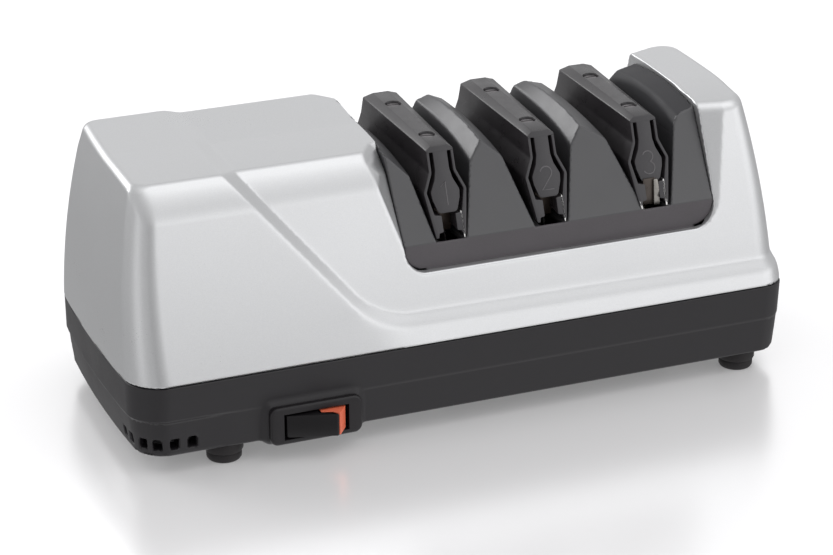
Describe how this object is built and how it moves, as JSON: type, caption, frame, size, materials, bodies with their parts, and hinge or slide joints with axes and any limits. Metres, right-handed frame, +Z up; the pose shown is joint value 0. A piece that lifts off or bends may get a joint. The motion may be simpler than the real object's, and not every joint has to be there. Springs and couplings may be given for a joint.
{
  "type": "electric knife sharpener",
  "caption": "Electric knife sharpener: motor housing and end pillar flank a slotted insert with sprung knife guides over powered discs; rocker switch in front, black base on rubber feet.",
  "frame": {"origin": "centre of the footprint, on the plane of the feet's undersides", "axes": "+X along the length from the motor housing to the end pillar, front face with the switch towards -Y, +Z up"},
  "size_m": [0.254, 0.1185, 0.1023],
  "materials": {
    "silver_paint": "satin metallic paint on moulded plastic",
    "black_plastic": "fine satin moulded texture",
    "slate_plastic": "fine matte moulded texture",
    "guide_plastic": "satin moulded nylon with worn bright edges",
    "screw_black": "blackened steel",
    "rubber": "matte",
    "rocker_black": "satin",
    "rocker_orange": "satin, translucent look",
    "bright_steel": "turned steel",
    "dark_steel": "laminated and turned steel",
    "copper": "enamelled copper wire",
    "bronze": "sintered bronze",
    "diamond_steel": "diamond-grit coated steel",
    "strop_polymer": "flexible abrasive polymer",
    "magnet": "ferrite magnet"
  },
  "bodies": {
    "casing": {"top_cover": "silver_paint", "base_housing": "black_plastic", "guide_insert": "slate_plastic", "foot_1": "rubber", "foot_2": "rubber", "foot_3": "rubber", "foot_4": "rubber", "case_screw_1": "dark_steel", "case_screw_2": "dark_steel", "case_screw_3": "dark_steel", "case_screw_4": "dark_steel", "switch_bezel": "rocker_black", "switch_body": "black_plastic", "motor_stator": "dark_steel", "stator_winding": "copper", "motor_bracket_left": "bright_steel", "motor_bracket_right": "bright_steel", "motor_bearing_left": "bronze", "motor_bearing_right": "bronze", "shaft_end_bearing": "bronze", "cord_gland": "rubber", "guide_post_1": "guide_plastic", "guide_screw_1_front": "screw_black", "guide_screw_1_rear": "screw_black", "guide_post_2": "guide_plastic", "guide_screw_2_front": "screw_black", "guide_screw_2_rear": "screw_black", "guide_post_3": "guide_plastic", "guide_screw_3_front": "screw_black", "guide_screw_3_rear": "screw_black"},
    "rocker": {"switch_rocker": "rocker_black", "rocker_indicator": "rocker_orange"},
    "drive": {"drive_shaft": "bright_steel", "motor_rotor": "dark_steel", "cooling_fan": "black_plastic", "disc_spring_1": "bright_steel", "disc_spring_2": "bright_steel", "disc_spring_3": "bright_steel"},
    "dressing_lever": {"dressing_lever": "black_plastic", "dressing_pad_left": "strop_polymer", "dressing_pad_right": "strop_polymer"},
    "cleanout_cover": {"cleanout_cover": "black_plastic", "dust_magnet": "magnet"},
    "disc_1_left": {"abrasive_disc_1_left": "diamond_steel"},
    "guide_arm_1_left": {"guide_arm_1_left": "guide_plastic"},
    "disc_1_right": {"abrasive_disc_1_right": "diamond_steel"},
    "guide_arm_1_right": {"guide_arm_1_right": "guide_plastic"},
    "disc_2_left": {"abrasive_disc_2_left": "diamond_steel"},
    "guide_arm_2_left": {"guide_arm_2_left": "guide_plastic"},
    "disc_2_right": {"abrasive_disc_2_right": "diamond_steel"},
    "guide_arm_2_right": {"guide_arm_2_right": "guide_plastic"},
    "disc_3_left": {"strop_disc_3_left": "strop_polymer"},
    "guide_arm_3_left": {"guide_arm_3_left": "guide_plastic"},
    "disc_3_right": {"strop_disc_3_right": "strop_polymer"},
    "guide_arm_3_right": {"guide_arm_3_right": "guide_plastic"}
  },
  "joints": [
    {"name": "rocker_switch", "type": "hinge", "parent": "casing", "child": "rocker", "pos_m": [-0.0604, -0.051, 0.0134], "axis": [0, 0, 1], "range_deg": [0, 20]},
    {"name": "shaft_spin", "type": "hinge", "parent": "casing", "child": "drive", "pos_m": [0, 0, 0.05], "axis": [1, 0, 0], "continuous": true},
    {"name": "dressing_lever_turn", "type": "hinge", "parent": "casing", "child": "dressing_lever", "pos_m": [0.0764, 0.036, 0.052], "axis": [0, 0, 1], "range_deg": [-4, 4], "stiffness_Nm_per_rad": 0.3},
    {"name": "cleanout_slide", "type": "slide", "parent": "casing", "child": "cleanout_cover", "axis": [1, 0, 0], "range_m": [0, 0.038]},
    {"name": "disc_1_left_slide", "type": "slide", "parent": "drive", "child": "disc_1_left", "axis": [1, 0, 0], "range_m": [0, 0.0012], "stiffness_N_per_m": 300, "springref_m": -0.004, "deforming": ["disc_spring_1"]},
    {"name": "disc_1_right_slide", "type": "slide", "parent": "drive", "child": "disc_1_right", "axis": [-1, 0, 0], "range_m": [0, 0.0012], "stiffness_N_per_m": 300, "springref_m": -0.004, "deforming": ["disc_spring_1"]},
    {"name": "guide_1_left_flex", "type": "hinge", "parent": "casing", "child": "guide_arm_1_left", "pos_m": [-0.0076, 0, 0.0975], "axis": [0, -1, 0], "range_deg": [0, 2.2], "stiffness_Nm_per_rad": 0.5, "springref_deg": -1.15},
    {"name": "guide_1_right_flex", "type": "hinge", "parent": "casing", "child": "guide_arm_1_right", "pos_m": [0.0012, 0, 0.0975], "axis": [0, 1, 0], "range_deg": [0, 2.2], "stiffness_Nm_per_rad": 0.5, "springref_deg": -1.15},
    {"name": "disc_2_left_slide", "type": "slide", "parent": "drive", "child": "disc_2_left", "axis": [1, 0, 0], "range_m": [0, 0.0012], "stiffness_N_per_m": 300, "springref_m": -0.004, "deforming": ["disc_spring_2"]},
    {"name": "disc_2_right_slide", "type": "slide", "parent": "drive", "child": "disc_2_right", "axis": [-1, 0, 0], "range_m": [0, 0.0012], "stiffness_N_per_m": 300, "springref_m": -0.004, "deforming": ["disc_spring_2"]},
    {"name": "guide_2_left_flex", "type": "hinge", "parent": "casing", "child": "guide_arm_2_left", "pos_m": [0.0315, 0, 0.0975], "axis": [0, -1, 0], "range_deg": [0, 2.2], "stiffness_Nm_per_rad": 0.5, "springref_deg": -1.15},
    {"name": "guide_2_right_flex", "type": "hinge", "parent": "casing", "child": "guide_arm_2_right", "pos_m": [0.0403, 0, 0.0975], "axis": [0, 1, 0], "range_deg": [0, 2.2], "stiffness_Nm_per_rad": 0.5, "springref_deg": -1.15},
    {"name": "disc_3_left_slide", "type": "slide", "parent": "drive", "child": "disc_3_left", "axis": [1, 0, 0], "range_m": [0, 0.0012], "stiffness_N_per_m": 300, "springref_m": -0.004, "deforming": ["disc_spring_3"]},
    {"name": "disc_3_right_slide", "type": "slide", "parent": "drive", "child": "disc_3_right", "axis": [-1, 0, 0], "range_m": [0, 0.0012], "stiffness_N_per_m": 300, "springref_m": -0.004, "deforming": ["disc_spring_3"]},
    {"name": "guide_3_left_flex", "type": "hinge", "parent": "casing", "child": "guide_arm_3_left", "pos_m": [0.072, 0, 0.0975], "axis": [0, -1, 0], "range_deg": [0, 2.2], "stiffness_Nm_per_rad": 0.5, "springref_deg": -1.15},
    {"name": "guide_3_right_flex", "type": "hinge", "parent": "casing", "child": "guide_arm_3_right", "pos_m": [0.0808, 0, 0.0975], "axis": [0, 1, 0], "range_deg": [0, 2.2], "stiffness_Nm_per_rad": 0.5, "springref_deg": -1.15}
  ]
}
